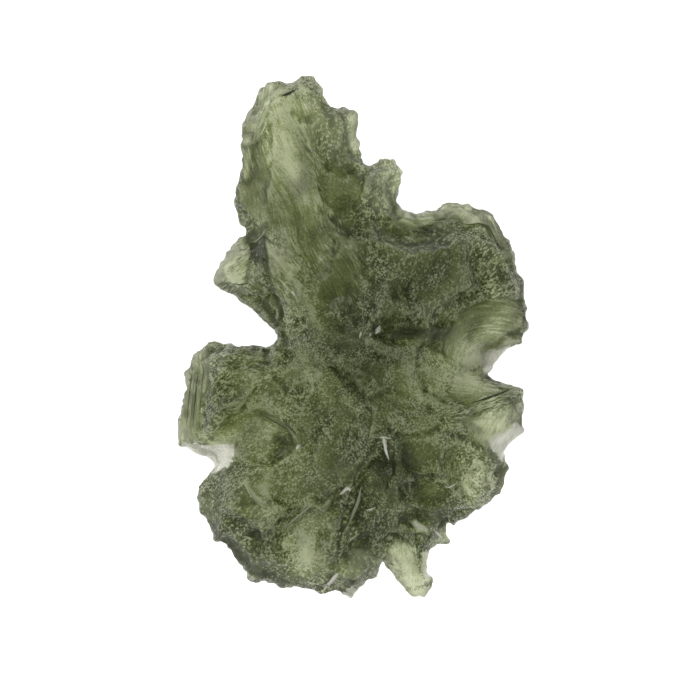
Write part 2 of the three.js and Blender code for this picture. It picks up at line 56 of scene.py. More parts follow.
# A rim below zero is painted shade in the crease round the facet.
# The stone's own map, in millimetres on its upper face, by what can be told apart from above.
# tone is how much more light a place lets through, in stops; frost is how white its skin is;
# grain is how strong the fine etching is; sink is how far the place lies below its surroundings;
# edge is how softly it runs into them, and rim is the tone of the crease or ridge around it.
# streak is the way that its flutes run, in degrees from +X, and arcs is the middle that they run round.
# A fresh facet is a break that is still white. A later facet lies over an earlier one.
facets = [
    {"part": "washed band", "tone": 0.1, "frost": 0.1, "grain": 0.2, "sink": 0.12, "streak": 118,
     "edge": 0.7, "rim": 0.0,
     "points": [(-5.5, 15.2), (-4.1, 15.6), (-3.1, 14.9), (-2.9, 12.2), (-2.3, 10.4), (-2.0, 8.9),
                (-0.5, 6.9), (0.3, 4.9), (-0.1, 2.4), (-1.5, 2.1), (-2.3, 3.7), (-3.5, 5.7), (-5.3, 8.0),
                (-5.9, 10.2), (-5.9, 12.8)]},
    {"part": "left flank", "tone": -0.1, "frost": 0.3, "grain": 0.25, "sink": 0.1, "streak": 104,
     "points": [(-7.2, 12.2), (-5.9, 12.8), (-5.7, 9.6), (-5.1, 7.5), (-5.9, 7.1), (-7.4, 8.6),
                (-7.7, 9.6)]},
    {"part": "tip's left slope", "tone": 0.2, "frost": 0.6, "grain": 0.7, "sink": 0.0, "streak": 75,
     "points": [(-7.2, 12.3), (-7.1, 14.2), (-6.0, 16.1), (-5.0, 16.7), (-4.6, 15.8), (-5.5, 15.2),
                (-6.0, 12.9)]},
    {"part": "granular flank", "tone": -0.55, "frost": 0.45, "grain": 1.6, "sink": 0.0,
     "points": [(-3.0, 14.4), (-1.6, 15.0), (-0.1, 14.7), (0.3, 12.2), (0.5, 11.2), (-1.5, 11.5),
                (-2.3, 10.4), (-2.9, 12.2)]},
    {"part": "flank's frosted rim", "tone": 0.7, "frost": 1.0, "grain": 1.6, "sink": 0.0, "rim": -0.1,
     "points": [(-0.6, 14.7), (0.0, 14.6), (0.3, 13.2), (0.5, 12.4), (0.2, 12.0), (-0.3, 12.3),
                (-0.2, 13.5)]},
    {"part": "dark hollow", "tone": 0.0, "frost": 0.0, "grain": 0.3, "sink": 0.3, "edge": 0.6, "rim": 0.0,
     "points": [(-2.3, 10.4), (-1.5, 11.5), (0.4, 11.2), (0.6, 9.6), (0.4, 8.2), (-0.9, 7.9), (-1.8, 8.6)]},
    {"part": "nub", "tone": -0.3, "frost": 0.6, "grain": 2.0, "sink": 0.0,
     "points": [(0.6, 10.2), (1.2, 11.2), (2.7, 11.7), (3.2, 10.6), (2.8, 8.6), (1.7, 8.2), (0.7, 8.6)]},
    {"part": "bay ledge", "tone": 0.9, "frost": 0.4, "grain": 0.15, "sink": 0.15, "streak": 0,
     "points": [(2.7, 8.5), (4.3, 8.2), (5.6, 8.0), (6.3, 7.7), (6.8, 7.7), (5.6, 7.4), (4.3, 7.1),
                (3.4, 7.2), (2.7, 7.5)]},
    {"part": "shoulder flake", "tone": 0.9, "frost": 1.0, "grain": 0.3, "sink": 0.25,
     "points": [(5.6, 8.0), (5.6, 8.5), (6.1, 9.0), (7.6, 8.7), (8.3, 8.5), (9.0, 8.1), (9.5, 7.4),
                (9.7, 6.8), (10.0, 6.0), (10.4, 5.3), (10.1, 5.0), (9.5, 5.7), (9.1, 6.5), (8.8, 7.3),
                (8.1, 7.4), (7.3, 7.2), (6.8, 7.8), (6.3, 7.7)]},
    {"part": "shell", "tone": 0.15, "frost": 0.3, "grain": 0.3, "sink": 0.25, "arcs": (9.5, -2.3),
     "points": [(5.8, -0.9), (6.0, -0.3), (6.3, 0.5), (7.0, 1.6), (8.6, 2.4), (11.1, 2.6), (11.4, 0.5),
                (10.8, 0.0), (9.5, -0.5), (8.9, -0.8), (8.6, -1.6), (7.6, -2.2), (6.4, -1.6)]},
    {"part": "notch flake", "tone": 2.5, "frost": 1.0, "grain": 0.1, "sink": 0.0, "fresh": True,
     "points": [(8.5, -2.3), (8.2, -1.6), (8.7, -0.9), (9.6, -0.6), (10.2, -0.4), (9.6, -1.7)]},
    {"part": "green pocket", "tone": -1.1, "frost": 0.0, "grain": 0.2, "sink": -0.3, "edge": 0.4,
     "rim": 0.0,
     "points": [(1.7, 0.4), (2.4, 0.8), (3.4, 1.1), (4.7, 1.1), (5.6, 0.8), (6.4, 0.6), (6.0, 0.0),
                (5.8, -0.7), (4.7, -0.4), (3.4, -0.2), (2.1, -0.2)]},
    {"part": "shell's foot", "tone": 0.7, "frost": 0.3, "grain": 0.4, "sink": 0.1, "arcs": (9.5, -2.3),
     "points": [(8.4, -0.7), (9.2, 0.1), (11.1, 0.0), (11.0, -0.4), (9.3, -0.5)]},
    {"part": "light facet", "tone": 0.35, "frost": 0.3, "grain": 0.5, "sink": 0.0, "streak": -15,
     "points": [(6.6, -2.5), (7.7, -2.2), (9.9, -2.8), (10.6, -3.2), (8.9, -3.8), (6.9, -4.3), (6.1, -3.5)]},
    {"part": "dark band", "tone": 0.4, "frost": 0.1, "grain": 1.3, "sink": 0.0, "streak": 15,
     "points": [(6.1, -4.3), (8.9, -3.8), (10.6, -3.3), (10.5, -4.1), (8.9, -5.0), (7.1, -5.4),
                (6.1, -5.0)]},
    {"part": "frosted lobe", "tone": 1.2, "frost": 1.0, "grain": 1.8, "sink": 0.0, "streak": 60,
     "points": [(7.1, -5.4), (8.9, -4.8), (10.6, -4.2), (11.3, -4.6), (11.3, -6.2), (9.9, -7.2),
                (9.5, -8.1), (8.6, -7.0), (7.6, -6.3)]},
    {"part": "bright window", "tone": 1.7, "frost": 0.3, "grain": 1.9, "sink": 0.1, "edge": 0.5,
     "rim": 0.0,
     "points": [(7.3, -8.6), (7.9, -7.6), (8.9, -8.5), (9.3, -9.3), (8.8, -10.2), (7.6, -10.8),
                (6.6, -10.0)]},
    {"part": "green lobe", "tone": -0.1, "frost": 0.0, "grain": 0.4, "sink": 0.15, "edge": 0.5, "rim": 0.0,
     "points": [(3.0, -6.7), (5.0, -6.7), (6.3, -8.6), (6.6, -10.0), (5.6, -10.9), (4.3, -10.6),
                (3.4, -8.6)]},
    {"part": "green sheen", "tone": -0.05, "frost": 0.05, "grain": 0.5, "sink": 0.0, "edge": 1.0,
     "rim": 0.0,
     "points": [(-6.7, -8.8), (-3.5, -7.8), (-0.6, -6.8), (0.4, -8.6), (-1.2, -11.2), (-3.5, -12.8),
                (-5.6, -12.0), (-6.8, -10.8)]},
    {"part": "great groove", "tone": -0.9, "frost": 0.1, "grain": 0.8, "sink": 0.1, "edge": 0.5,
     "rim": 0.0,
     "points": [(2.1, -6.7), (2.7, -8.0), (2.5, -10.6), (1.6, -13.5), (-0.9, -14.5), (-1.5, -15.4),
                (-1.2, -13.2), (-0.2, -11.2), (0.6, -8.9)]},
    {"part": "spur window", "tone": 4.0, "frost": 0.4, "grain": 0.2, "sink": 0.0, "fresh": True,
     "points": [(3.6, -12.1), (4.1, -12.0), (4.6, -12.3), (4.8, -12.6), (4.3, -12.5), (3.9, -12.6)]},
    {"part": "spur", "tone": -0.9, "frost": 0.8, "grain": 1.7, "sink": 0.0,
     "points": [(5.0, -12.4), (6.1, -12.0), (6.5, -13.6), (5.4, -13.2)]},
    {"part": "leg", "tone": 1.5, "frost": 1.1, "grain": 1.7, "sink": 0.0,
     "points": [(2.1, -13.8), (2.7, -13.3), (3.7, -13.5), (4.1, -15.1), (4.7, -16.1), (5.1, -16.4),
                (4.3, -17.0), (3.3, -16.6), (2.3, -15.1)]},
    {"part": "foot facet", "tone": -1.3, "frost": 0.6, "grain": 2.0, "sink": 0.0,
     "points": [(-0.5, -14.8), (-0.2, -13.8), (1.1, -13.7), (1.7, -14.3), (1.5, -15.6), (0.4, -16.3),
                (-0.6, -16.0)]},
    {"part": "foot flakes", "tone": -0.8, "frost": 1.0, "grain": 0.1, "sink": 0.0, "fresh": True,
     "points": [(-0.8, -16.6), (-0.3, -16.1), (0.6, -16.3), (0.2, -16.8), (-0.2, -17.2)]},
    {"part": "pale patch", "tone": 1.5, "frost": 0.1, "grain": 1.8, "sink": 0.05, "edge": 0.8, "rim": 0.0,
     "points": [(-4.4, -14.1), (-4.1, -12.8), (-3.5, -12.2), (-2.5, -13.2), (-2.3, -14.5), (-3.1, -15.2),
                (-4.1, -15.0)]},
    {"part": "spoon", "tone": 0.55, "frost": 0.0, "grain": 0.3, "sink": 0.15, "edge": 0.4, "rim": -0.1,
     "points": [(-9.6, -6.7), (-7.7, -5.0), (-5.7, -4.8), (-4.1, -5.9), (-3.6, -6.8), (-4.1, -7.8),
                (-5.7, -8.4), (-7.7, -8.0), (-9.0, -7.6)]},
    {"part": "spoon's deep end", "tone": -1.0, "frost": 0.0, "grain": 0.5, "sink": 0.1, "edge": 0.7,
     "rim": 0.0,
     "points": [(-4.9, -6.5), (-4.1, -6.2), (-3.7, -6.8), (-4.1, -7.7), (-5.5, -8.1), (-5.3, -7.4)]},
    {"part": "half-moon", "tone": 0.4, "frost": 0.1, "grain": 0.4, "sink": 0.12, "edge": 0.3,
     "points": [(-6.8, -9.4), (-5.9, -9.0), (-4.8, -9.3), (-5.0, -10.6), (-5.9, -10.8)]},
    {"part": "left flake", "tone": 2.5, "frost": 1.0, "grain": 0.1, "sink": 0.1, "fresh": True,
     "points": [(-11.3, -6.7), (-9.6, -6.9), (-7.7, -6.8), (-7.8, -8.2), (-9.1, -8.8), (-9.4, -7.9),
                (-10.5, -7.7)]},
    {"part": "dark notch by the half-moon", "tone": -0.6, "frost": 0.2, "grain": 0.7, "sink": 0.1,
     "points": [(-7.0, -9.5), (-6.2, -10.8), (-7.1, -11.1), (-7.9, -10.6)]},
    {"part": "lobe's white edge", "tone": 2.0, "frost": 1.0, "grain": 0.3, "sink": 0.0, "fresh": True,
     "points": [(9.6, -8.1), (9.1, -7.2), (8.6, -6.6), (9.6, -6.2), (10.5, -5.5), (11.2, -5.9),
                (11.0, -6.6), (10.2, -7.2), (9.8, -7.7)]},
    {"part": "leg's white edge", "tone": 3.0, "frost": 1.0, "grain": 0.3, "sink": 0.0, "fresh": True,
     "points": [(4.5, -13.8), (4.8, -13.8), (4.95, -15.3), (5.2, -15.7), (4.9, -15.9), (4.6, -15.3)]},
    {"part": "left edge", "tone": -0.5, "frost": 0.9, "grain": 1.4, "sink": 0.05, "streak": 88,
     "points": [(-11.5, -6.9), (-11.3, -4.1), (-10.9, -1.4), (-9.6, -0.4), (-9.5, -2.8), (-10.0, -5.4),
                (-10.2, -6.7)]},
    {"part": "small lobe", "tone": 1.1, "frost": 0.4, "grain": 1.1, "sink": 0.0, "streak": 40,
     "points": [(-9.2, 3.4), (-8.5, 4.9), (-7.6, 6.1), (-6.9, 6.5), (-6.8, 5.4), (-7.1, 3.4), (-8.0, 2.9)]},
    {"part": "small lobe's white edge", "tone": 1.6, "frost": 1.0, "grain": 0.3, "sink": 0.0, "rim": -0.1,
     "points": [(-9.2, 3.4), (-8.7, 4.9), (-7.8, 6.2), (-7.0, 6.6), (-7.3, 5.8), (-8.1, 4.6), (-8.5, 3.6)]},
    {"part": "small lobe's top", "tone": -1.4, "frost": 0.4, "grain": 0.8, "sink": 0.0,
     "points": [(-7.6, 6.1), (-6.9, 6.7), (-5.7, 7.3), (-5.4, 6.8), (-5.9, 6.5), (-6.9, 6.3)]},
    # painted shade: the lobe's right side, away from the light, is darkened
    {"part": "small lobe's dark side", "tone": -2.1, "frost": 0.1, "grain": 1.8, "sink": 0.0, "edge": 0.35,
     "points": [(-6.8, 6.2), (-5.6, 6.4), (-5.4, 5.1), (-5.9, 4.7), (-6.6, 5.1)]},
    {"part": "small lobe's grainy side", "tone": 0.1, "frost": 0.4, "grain": 1.6, "sink": 0.0,
     "points": [(-6.7, 5.0), (-5.9, 4.7), (-5.5, 3.4), (-6.2, 3.1), (-6.7, 3.4), (-6.9, 4.3)]},
    {"part": "pale bank", "tone": 0.25, "frost": 0.2, "grain": 0.9, "sink": 0.0, "streak": -55,
     "points": [(-5.6, 6.3), (-4.5, 5.7), (-3.5, 4.5), (-3.3, 2.4), (-4.1, 2.1), (-4.8, 3.0), (-5.3, 4.4)]},
    {"part": "notch pocket", "tone": -0.35, "frost": 0.0, "grain": 0.4, "sink": 0.15,
     "points": [(-5.9, 2.4), (-5.3, 3.0), (-4.5, 1.8), (-4.6, 0.5), (-5.3, 1.0)]},
]
# for the facets that don't say otherwise, and for the stone between and under them
usualEdge = 0.22
# painted shade: the dark line in the crease round a facet
usualRimShade = -0.3
rimWidth = 0.15
usualFrost = 0.1
usualGrain = 1.0
undersideGrain = 0.8

# Broad changes of tone inside and between the facets, as soft ovals turned from +X in degrees.
shades = [
    {"part": "band's pale head", "x": -4.2, "y": 13.2, "long": 2.6, "wide": 1.2, "turn": 95, "tone": 0.7},
    {"part": "tip's right side", "x": -2.9, "y": 15.1, "long": 1.0, "wide": 0.5, "turn": 60, "tone": 0.7},
    {"part": "band's middle", "x": -3.7, "y": 10.2, "long": 2.2, "wide": 0.9, "turn": 125, "tone": 0.9},
    {"part": "band's tail", "x": -1.6, "y": 5.0, "long": 3.6, "wide": 1.1, "turn": 118, "tone": -0.1},
    {"part": "core", "x": 0.2, "y": -0.6, "long": 5.0, "wide": 3.4, "turn": 100, "tone": -0.85},
    {"part": "valley under the nub", "x": 1.3, "y": 7.5, "long": 2.4, "wide": 1.2, "turn": -10,
     "tone": -0.5},
    {"part": "groove's head", "x": 3.0, "y": -8.0, "long": 1.8, "wide": 0.8, "turn": 110, "tone": -1.4},
    {"part": "groove's left bank", "x": -0.2, "y": -11.7, "long": 2.0, "wide": 1.0, "turn": 65,
     "tone": 0.2},
    {"part": "between lobe and leg", "x": 3.6, "y": -12.2, "long": 2.4, "wide": 1.1, "turn": 5,
     "tone": -0.35},
    {"part": "grainy lump", "x": -2.7, "y": -2.2, "long": 1.7, "wide": 1.1, "turn": -60, "tone": 1.1},
    {"part": "left lobe's shoulder", "x": -9.3, "y": -1.9, "long": 1.6, "wide": 1.4, "turn": 90,
     "tone": -1.2},
    {"part": "left lobe", "x": -9.0, "y": -5.0, "long": 1.8, "wide": 1.2, "turn": 90, "tone": -0.3},
    {"part": "below the flake", "x": -6.4, "y": -8.6, "long": 2.0, "wide": 1.0, "turn": 0, "tone": -0.35},
    {"part": "lower left edge", "x": -5.8, "y": -14.6, "long": 2.0, "wide": 1.0, "turn": -40, "tone": -0.9},
    {"part": "below the ledge", "x": 5.6, "y": 6.6, "long": 2.2, "wide": 0.8, "turn": 0, "tone": -0.7},
    {"part": "lobe's middle", "x": 6.8, "y": -8.2, "long": 1.6, "wide": 1.0, "turn": -50, "tone": 0.05},
    {"part": "groove's left side", "x": -0.4, "y": -8.7, "long": 2.2, "wide": 1.0, "turn": 50,
     "tone": -0.5},
    {"part": "flake's bay", "x": -9.2, "y": -8.4, "long": 1.2, "wide": 0.8, "turn": -20, "tone": -0.3},
    {"part": "shoulder", "x": 5.6, "y": 4.4, "long": 4.6, "wide": 3.0, "turn": 20, "tone": -0.6},
    {"part": "lower left rim", "x": -8.2, "y": -12.6, "long": 4.2, "wide": 1.6, "turn": -42, "tone": -1.15},
    {"part": "bottom rim", "x": -3.2, "y": -15.7, "long": 2.4, "wide": 0.8, "turn": -8, "tone": -0.5},
    {"part": "lobe's lower rim", "x": 6.2, "y": -11.2, "long": 2.2, "wide": 0.9, "turn": 25, "tone": -1.8},
    {"part": "lower core", "x": -2.0, "y": -7.8, "long": 3.4, "wide": 1.8, "turn": 70, "tone": -0.35},
    {"part": "green shine", "x": -5.4, "y": -10.2, "long": 3.6, "wide": 1.6, "turn": 40, "tone": 0.5},
    {"part": "right waist", "x": 4.6, "y": -2.4, "long": 2.6, "wide": 1.5, "turn": -20, "tone": 0.7},
    {"part": "shell's white heart", "x": 7.5, "y": -1.5, "long": 1.4, "wide": 1.0, "turn": 60, "tone": 1.4},
    {"part": "shoulder's right rim", "x": 9.4, "y": 4.8, "long": 2.0, "wide": 0.7, "turn": -60,
     "tone": -0.5},
    {"part": "pocket's end", "x": 5.2, "y": 0.4, "long": 1.4, "wide": 0.5, "turn": 0, "tone": -2.2},
    {"part": "middle right", "x": 3.4, "y": -3.4, "long": 3.0, "wide": 1.6, "turn": 90, "tone": 0.35},
    {"part": "wedge", "x": 2.8, "y": -9.3, "long": 1.8, "wide": 0.9, "turn": -60, "tone": -1.5},
    {"part": "wedge's grainy ridge", "x": 1.0, "y": -8.9, "long": 1.0, "wide": 0.5, "turn": -20,
     "tone": 0.9},
    {"part": "pale flank", "x": -3.2, "y": -11.9, "long": 1.8, "wide": 1.3, "turn": 60, "tone": 0.6},
    {"part": "over the spoon", "x": -6.4, "y": -4.2, "long": 1.8, "wide": 0.8, "turn": 0, "tone": 0.7},
    {"part": "pale strip", "x": -9.2, "y": -2.4, "long": 1.0, "wide": 0.3, "turn": 80, "tone": 0.5},
    {"part": "small dark hollow", "x": -6.2, "y": -12.5, "long": 0.8, "wide": 0.35, "turn": -10,
     "tone": -2.6},
    {"part": "below the band", "x": -3.0, "y": 1.6, "long": 1.8, "wide": 1.2, "turn": 0, "tone": 0.6},
    {"part": "band's left side", "x": -4.0, "y": 5.2, "long": 1.8, "wide": 0.9, "turn": 120, "tone": 1.05},
]

# Narrow marks along a line of points: most lie a little low, and one with a sink below zero stands up.
# The dark tone of the strokes along creases and grooves is painted shade.
strokes = [
    {"part": "small lobe's lower band", "wide": 0.3, "tone": -2.4, "frost": 0.3, "sink": 0.06,
     "points": [(-8.5, 3.3), (-7.4, 3.1), (-6.2, 2.9)]},
    {"part": "crease behind the small lobe", "wide": 0.2, "tone": -1.4, "frost": 0.1, "sink": 0.1,
     "points": [(-5.7, 4.9), (-5.4, 3.7), (-5.0, 2.8), (-4.6, 1.3)]},
    {"part": "wedge's left crease", "wide": 0.14, "tone": -0.9, "frost": 0.1, "sink": 0.1,
     "points": [(1.5, -6.5), (0.7, -7.8), (0.2, -9.0), (-0.3, -11.0), (-0.8, -12.7), (-1.1, -14.5)]},
    {"part": "wedge's right crease", "wide": 0.16, "tone": 0.3, "frost": 0.1, "sink": 0.1,
     "points": [(2.1, -8.0), (3.1, -9.8), (4.1, -11.3)]},
    {"part": "crest under the flake", "wide": 0.14, "tone": 0.5, "frost": 0.1, "sink": 0.1,
     "points": [(4.6, 7.2), (6.6, 7.7), (7.2, 7.2), (8.2, 7.4), (8.8, 7.2), (9.1, 6.4), (9.6, 5.5),
                (10.0, 5.0)]},
    {"part": "ledge line", "wide": 0.1, "tone": -0.5, "frost": 0.3, "sink": 0.1,
     "points": [(2.8, 7.9), (4.0, 7.5), (5.2, 7.7), (6.0, 7.9)]},
    {"part": "spoon's upper lip", "wide": 0.14, "tone": 0.1, "frost": 0.2, "sink": 0.1,
     "points": [(-6.4, -4.7), (-5.1, -5.2), (-4.2, -6.0), (-3.7, -6.9)]},
    {"part": "spoon's outer lip", "wide": 0.12, "tone": -1.2, "frost": 0.1, "sink": -0.1,
     "points": [(-6.2, -5.0), (-5.0, -5.6), (-4.1, -6.3), (-3.6, -7.0)]},
    {"part": "half-moon's rim", "wide": 0.12, "tone": 1.5, "frost": 0.2, "sink": -0.08,
     "points": [(-6.9, -9.4), (-6.5, -10.2), (-5.8, -10.7)]},
    {"part": "groove from the core", "wide": 0.22, "tone": -0.4, "frost": 0.1, "sink": 0.12,
     "points": [(1.7, -6.5), (0.5, -8.2), (-0.6, -9.6), (-2.2, -10.6)]},
    {"part": "left waist groove", "wide": 0.22, "tone": 0.0, "frost": 0.1, "sink": 0.12,
     "points": [(-4.6, 0.2), (-4.2, -1.3), (-5.0, -2.4), (-4.2, -3.6)]},
    {"part": "core groove", "wide": 0.25, "tone": -0.3, "frost": 0.1, "sink": 0.12,
     "points": [(-2.6, -0.4), (-1.4, -1.8), (-0.2, -3.4), (1.2, -4.2)]},
    {"part": "waist groove", "wide": 0.2, "tone": 0.0, "frost": 0.1, "sink": 0.1,
     "points": [(1.0, -3.9), (2.6, -3.4), (4.4, -4.2), (5.8, -5.3)]},
    {"part": "right lobe's root", "wide": 0.2, "tone": -0.7, "frost": 0.1, "sink": 0.12,
     "points": [(2.2, -6.0), (3.6, -6.4), (5.4, -5.9), (6.6, -6.2), (8.2, -7.2)]},
    {"part": "small lobe's ridge", "wide": 0.14, "tone": 0.5, "frost": 0.4, "sink": -0.06,
     "points": [(-6.6, 6.4), (-5.6, 6.2), (-5.3, 5.6), (-4.0, 3.9), (-3.4, 2.8)]},
    {"part": "edge under the pocket", "wide": 0.14, "tone": -0.2, "frost": 0.1, "sink": 0.1,
     "points": [(6.5, 1.0), (6.0, 0.2), (5.8, -0.7), (6.1, -1.5), (6.8, -2.2)]},
    # painted shade: the leg's right side, away from the light, is darkened
    {"part": "leg's dark side", "wide": 0.22, "tone": -0.3, "frost": 0.0, "sink": 0.1,
     "points": [(4.1, -12.7), (4.3, -13.6), (4.4, -14.6)]},
    {"part": "leg's dark toe", "wide": 0.16, "tone": -1.8, "frost": 0.3, "sink": 0.05,
     "points": [(3.6, -16.3), (4.2, -16.2), (5.0, -16.1)]},
    {"part": "leg's left edge", "wide": 0.2, "tone": 0.0, "frost": 0.3, "sink": 0.05,
     "points": [(1.9, -13.7), (2.4, -14.6), (3.0, -15.8)]},
    {"part": "lobe's arc", "wide": 0.3, "tone": 0.3, "frost": 0.2, "sink": 0.08,
     "points": [(5.9, -7.2), (6.6, -8.2), (6.8, -9.0), (7.0, -9.8)]},
    {"part": "lobe's dark right rim", "wide": 0.3, "tone": -2.2, "frost": 0.2, "sink": 0.0,
     "points": [(8.8, -7.4), (9.5, -8.4), (9.5, -9.6), (9.1, -10.4)]},
    {"part": "dark teeth below the left lobe", "wide": 0.3, "tone": -0.9, "frost": 0.2, "sink": 0.0,
     "points": [(-9.9, -11.2), (-8.9, -12.7), (-7.5, -14.0), (-6.0, -15.4), (-4.6, -16.3)]},
    {"part": "pocket's upper edge", "wide": 0.14, "tone": 1.2, "frost": 0.0, "sink": 0.12,
     "points": [(1.9, 0.6), (2.8, 1.1), (4.2, 1.2), (5.4, 0.9), (6.4, 1.0)]},
]
strokeEnd = 1.5  # how far from its line a stroke has faded out, in widths

# Open cracks and scratches, whose walls shine or lie dark: slivers in millimetres, widest in the middle.
# bright goes from 0, dark, to 1, white.
flaws = [
    {"part": "slit at the groove's head", "wide": 0.34, "bright": 0.92,
     "points": [(1.9, -6.3), (2.0, -6.7), (2.1, -7.2), (2.3, -7.9)]},
    {"part": "slit's pale root", "wide": 0.2, "bright": 0.6,
     "points": [(1.5, -6.4), (2.0, -6.4), (2.5, -6.5)]},
    {"part": "short slit", "wide": 0.4, "bright": 0.68,
     "points": [(-0.9, -10.1), (-0.5, -9.8), (0.1, -9.6)]},
    {"part": "tapering slit", "wide": 0.36, "bright": 0.48,
     "points": [(0.5, -9.6), (0.3, -10.4), (0.0, -11.2), (-0.4, -12.3)]},
    {"part": "small scratch", "wide": 0.14, "bright": 0.68,
     "points": [(0.8, -11.1), (1.1, -11.1), (1.5, -10.9)]},
    {"part": "bright scratch", "wide": 0.17, "bright": 0.92,
     "points": [(6.0, -9.7), (6.3, -9.6), (6.7, -9.4)]},
    {"part": "foot's pale crack", "wide": 0.4, "bright": 0.84,
     "points": [(-2.0, -16.6), (-1.7, -16.0), (-1.2, -15.4), (-1.0, -15.2)]},
    {"part": "dot by the pocket", "wide": 0.46, "bright": 0.96,
     "points": [(1.4, 0.2), (1.5, 0.5), (1.7, 0.8)]},
    {"part": "dot by the spoon", "wide": 0.26, "bright": 0.84,
     "points": [(-3.7, -7.2), (-3.5, -7.0), (-3.4, -6.9)]},
    {"part": "long pale line", "wide": 0.2, "bright": 0.44,
     "points": [(-4.7, -12.5), (-3.6, -11.5), (-2.5, -10.6)]},
    {"part": "fleck at the waist", "wide": 0.2, "bright": 0.6,
     "points": [(-4.0, 3.0), (-3.8, 2.8), (-3.7, 2.6)]},
    {"part": "fleck in the core", "wide": 0.22, "bright": 0.52,
     "points": [(0.4, -0.1), (0.5, 0.2), (0.5, 0.4)]},
    {"part": "crack at the tip", "wide": 0.22, "bright": 0.0,
     "points": [(-4.7, 15.6), (-4.2, 15.75), (-3.6, 16.1)]},
    {"part": "spoon's first lip line", "wide": 0.1, "bright": 0.12,
     "points": [(-6.3, -4.8), (-5.5, -5.2), (-4.8, -5.6), (-4.1, -6.0), (-3.7, -6.5)]},
    {"part": "spoon's second lip line", "wide": 0.2, "bright": 0.1,
     "points": [(-4.6, -5.2), (-4.2, -5.6), (-3.7, -6.2)]},
    {"part": "spoon's pale lip", "wide": 0.12, "bright": 0.4,
     "points": [(-5.9, -4.9), (-5.0, -5.4), (-4.2, -5.8), (-3.7, -6.5), (-3.5, -6.9)]},
    {"part": "half-moon's pale edge", "wide": 0.11, "bright": 0.35,
     "points": [(-6.8, -9.6), (-6.5, -10.2), (-6.1, -10.6), (-5.5, -10.8)]},
    {"part": "left edge's first line", "wide": 0.08, "bright": 0.2,
     "points": [(-9.8, -0.9), (-9.7, -2.1), (-9.85, -3.7), (-10.0, -5.4)]},
    {"part": "left edge's second line", "wide": 0.07, "bright": 0.1,
     "points": [(-10.4, -1.8), (-10.6, -3.5), (-10.8, -5.7)]},
    {"part": "left edge's third line", "wide": 0.07, "bright": 0.05,
     "points": [(-10.0, -1.6), (-10.2, -3.6), (-10.4, -5.9)]},
    {"part": "left edge's pale line", "wide": 0.08, "bright": 0.4,
     "points": [(-10.2, -1.9), (-10.4, -3.6), (-10.6, -5.9)]},
    {"part": "small lobe's pale fold", "wide": 0.16, "bright": 0.45,
     "points": [(-6.9, 6.2), (-6.3, 6.2), (-5.9, 6.6), (-5.6, 7.0)]},
    {"part": "small lobe's dark crest", "wide": 0.1, "bright": 0.05,
     "points": [(-6.7, 6.0), (-6.6, 5.2), (-6.2, 4.6), (-5.7, 3.9), (-5.5, 3.2)]},
    {"part": "small lobe's lower line", "wide": 0.1, "bright": 0.05,
     "points": [(-8.1, 3.6), (-7.4, 3.4), (-6.8, 3.5), (-6.2, 3.1)]},
    {"part": "line above the dark band", "wide": 0.16, "bright": 0.03,
     "points": [(7.6, -4.25), (8.9, -3.85), (10.3, -3.3)]},
    {"part": "line on the wedge's crest", "wide": 0.11, "bright": 0.42,
     "points": [(3.1, -9.4), (3.4, -10.0), (3.8, -10.6)]},
    {"part": "line over the leg", "wide": 0.09, "bright": 0.35,
     "points": [(3.4, -11.9), (3.7, -12.5), (4.0, -13.2)]},
    {"part": "spur's bright edge", "wide": 0.26, "bright": 0.8,
     "points": [(5.2, -12.5), (5.5, -12.8), (5.8, -13.1)]},
    {"part": "line under the flake", "wide": 0.1, "bright": 0.1,
     "points": [(6.7, 7.7), (7.2, 7.3), (8.2, 7.4), (8.8, 7.2), (9.2, 6.4), (9.7, 5.5)]},
    {"part": "scratch on the shoulder", "wide": 0.1, "bright": 0.4,
     "points": [(3.2, 5.9), (3.5, 5.7), (3.8, 5.4)]},
    {"part": "fleck by the lump", "wide": 0.16, "bright": 0.48,
     "points": [(1.0, 0.0), (1.1, 0.2), (1.1, 0.3)]},
]
flawRings = 13
flawLift = 0.03  # how far a sliver stands out of the glass around it
flawDepth = 0.09
flawTip = 0.05  # width of its ends, in widths of its middle
castHeight = 50  # above the stone, from where a sliver's height is found

# the etched surface, with lengths in millimetres and tones in stops
etching = {
    "voxel": 0.127,
    "triangles": 186000,  # the underside is thinned out until no more are left
    "softening": 4,  # smoothing passes that take the facets off the solid
    "lumps": {"across": 2.6, "depth": 0.17, "shift": 3.1, "least": 0.1},
    "wells": [  # round wells that meet in sharp ridges, strongest where the stone is grainy
        {"across": 1.3, "depth": 0.11, "shift": 11.7},
        {"across": 0.6, "depth": 0.08, "shift": 23.9},
    ],
    "bowl": {"steep": 2.2, "deep": 0.6},  # the shape of one well, and of one lump turned over
    "merge": 0.0005,
    "underside": -0.05,  # faces that lean further down than this belong to it
    "slope": 4,  # the steeper walls get less of the facets' own relief
    "wander": {"often": 0.9, "far": 0.28, "drawn": 0.1},  # how the facets' edges and the strokes stray
    "sweep": {"often": 0.22, "far": 0.7},  # how the flutes bend
    "streaks": {"apart": 0.26, "run": 7.0, "depth": 0.045, "shift": 4.7, "faint": 0.02,
                "narrow": 1.3, "level": 0.3, "arcRadius": 3},
    # the grain comes and goes
    "patches": {"across": 1.6, "least": 0.35, "most": 1.7, "middle": 0.4, "contrast": 1.2},
    # painted shade and light: the tone is darkened in the hollows and lightened on the crests
    # passes of averaging that a place's height is held against, and the stops for each mm above that
    "ridges": [(3, 9.0), (20, 5.0), (70, 1.7)],
    "ridgeHeight": 0.15,  # a place this far out is as frosted and grainy as a crest gets
    "ridgeFrost": 0.15,
    "ridgeGrain": 0.5,
    # painted shade: the stops by which the steep walls are darkened
    "steepShade": -0.6,
    "teeth": {"across": 0.48, "depth": 0.2, "tone": 3.4, "grain": 0.7},  # on the steep walls of the rim
    "fan": {"x": 0.5, "y": -3.0, "least": 0.5, "power": 0.75, "usual": 8.0},  # flutes spread from the middle
    "breaks": {"inside": 0.08, "often": 3, "far": 0.14},  # how the white breaks' edges stray
}


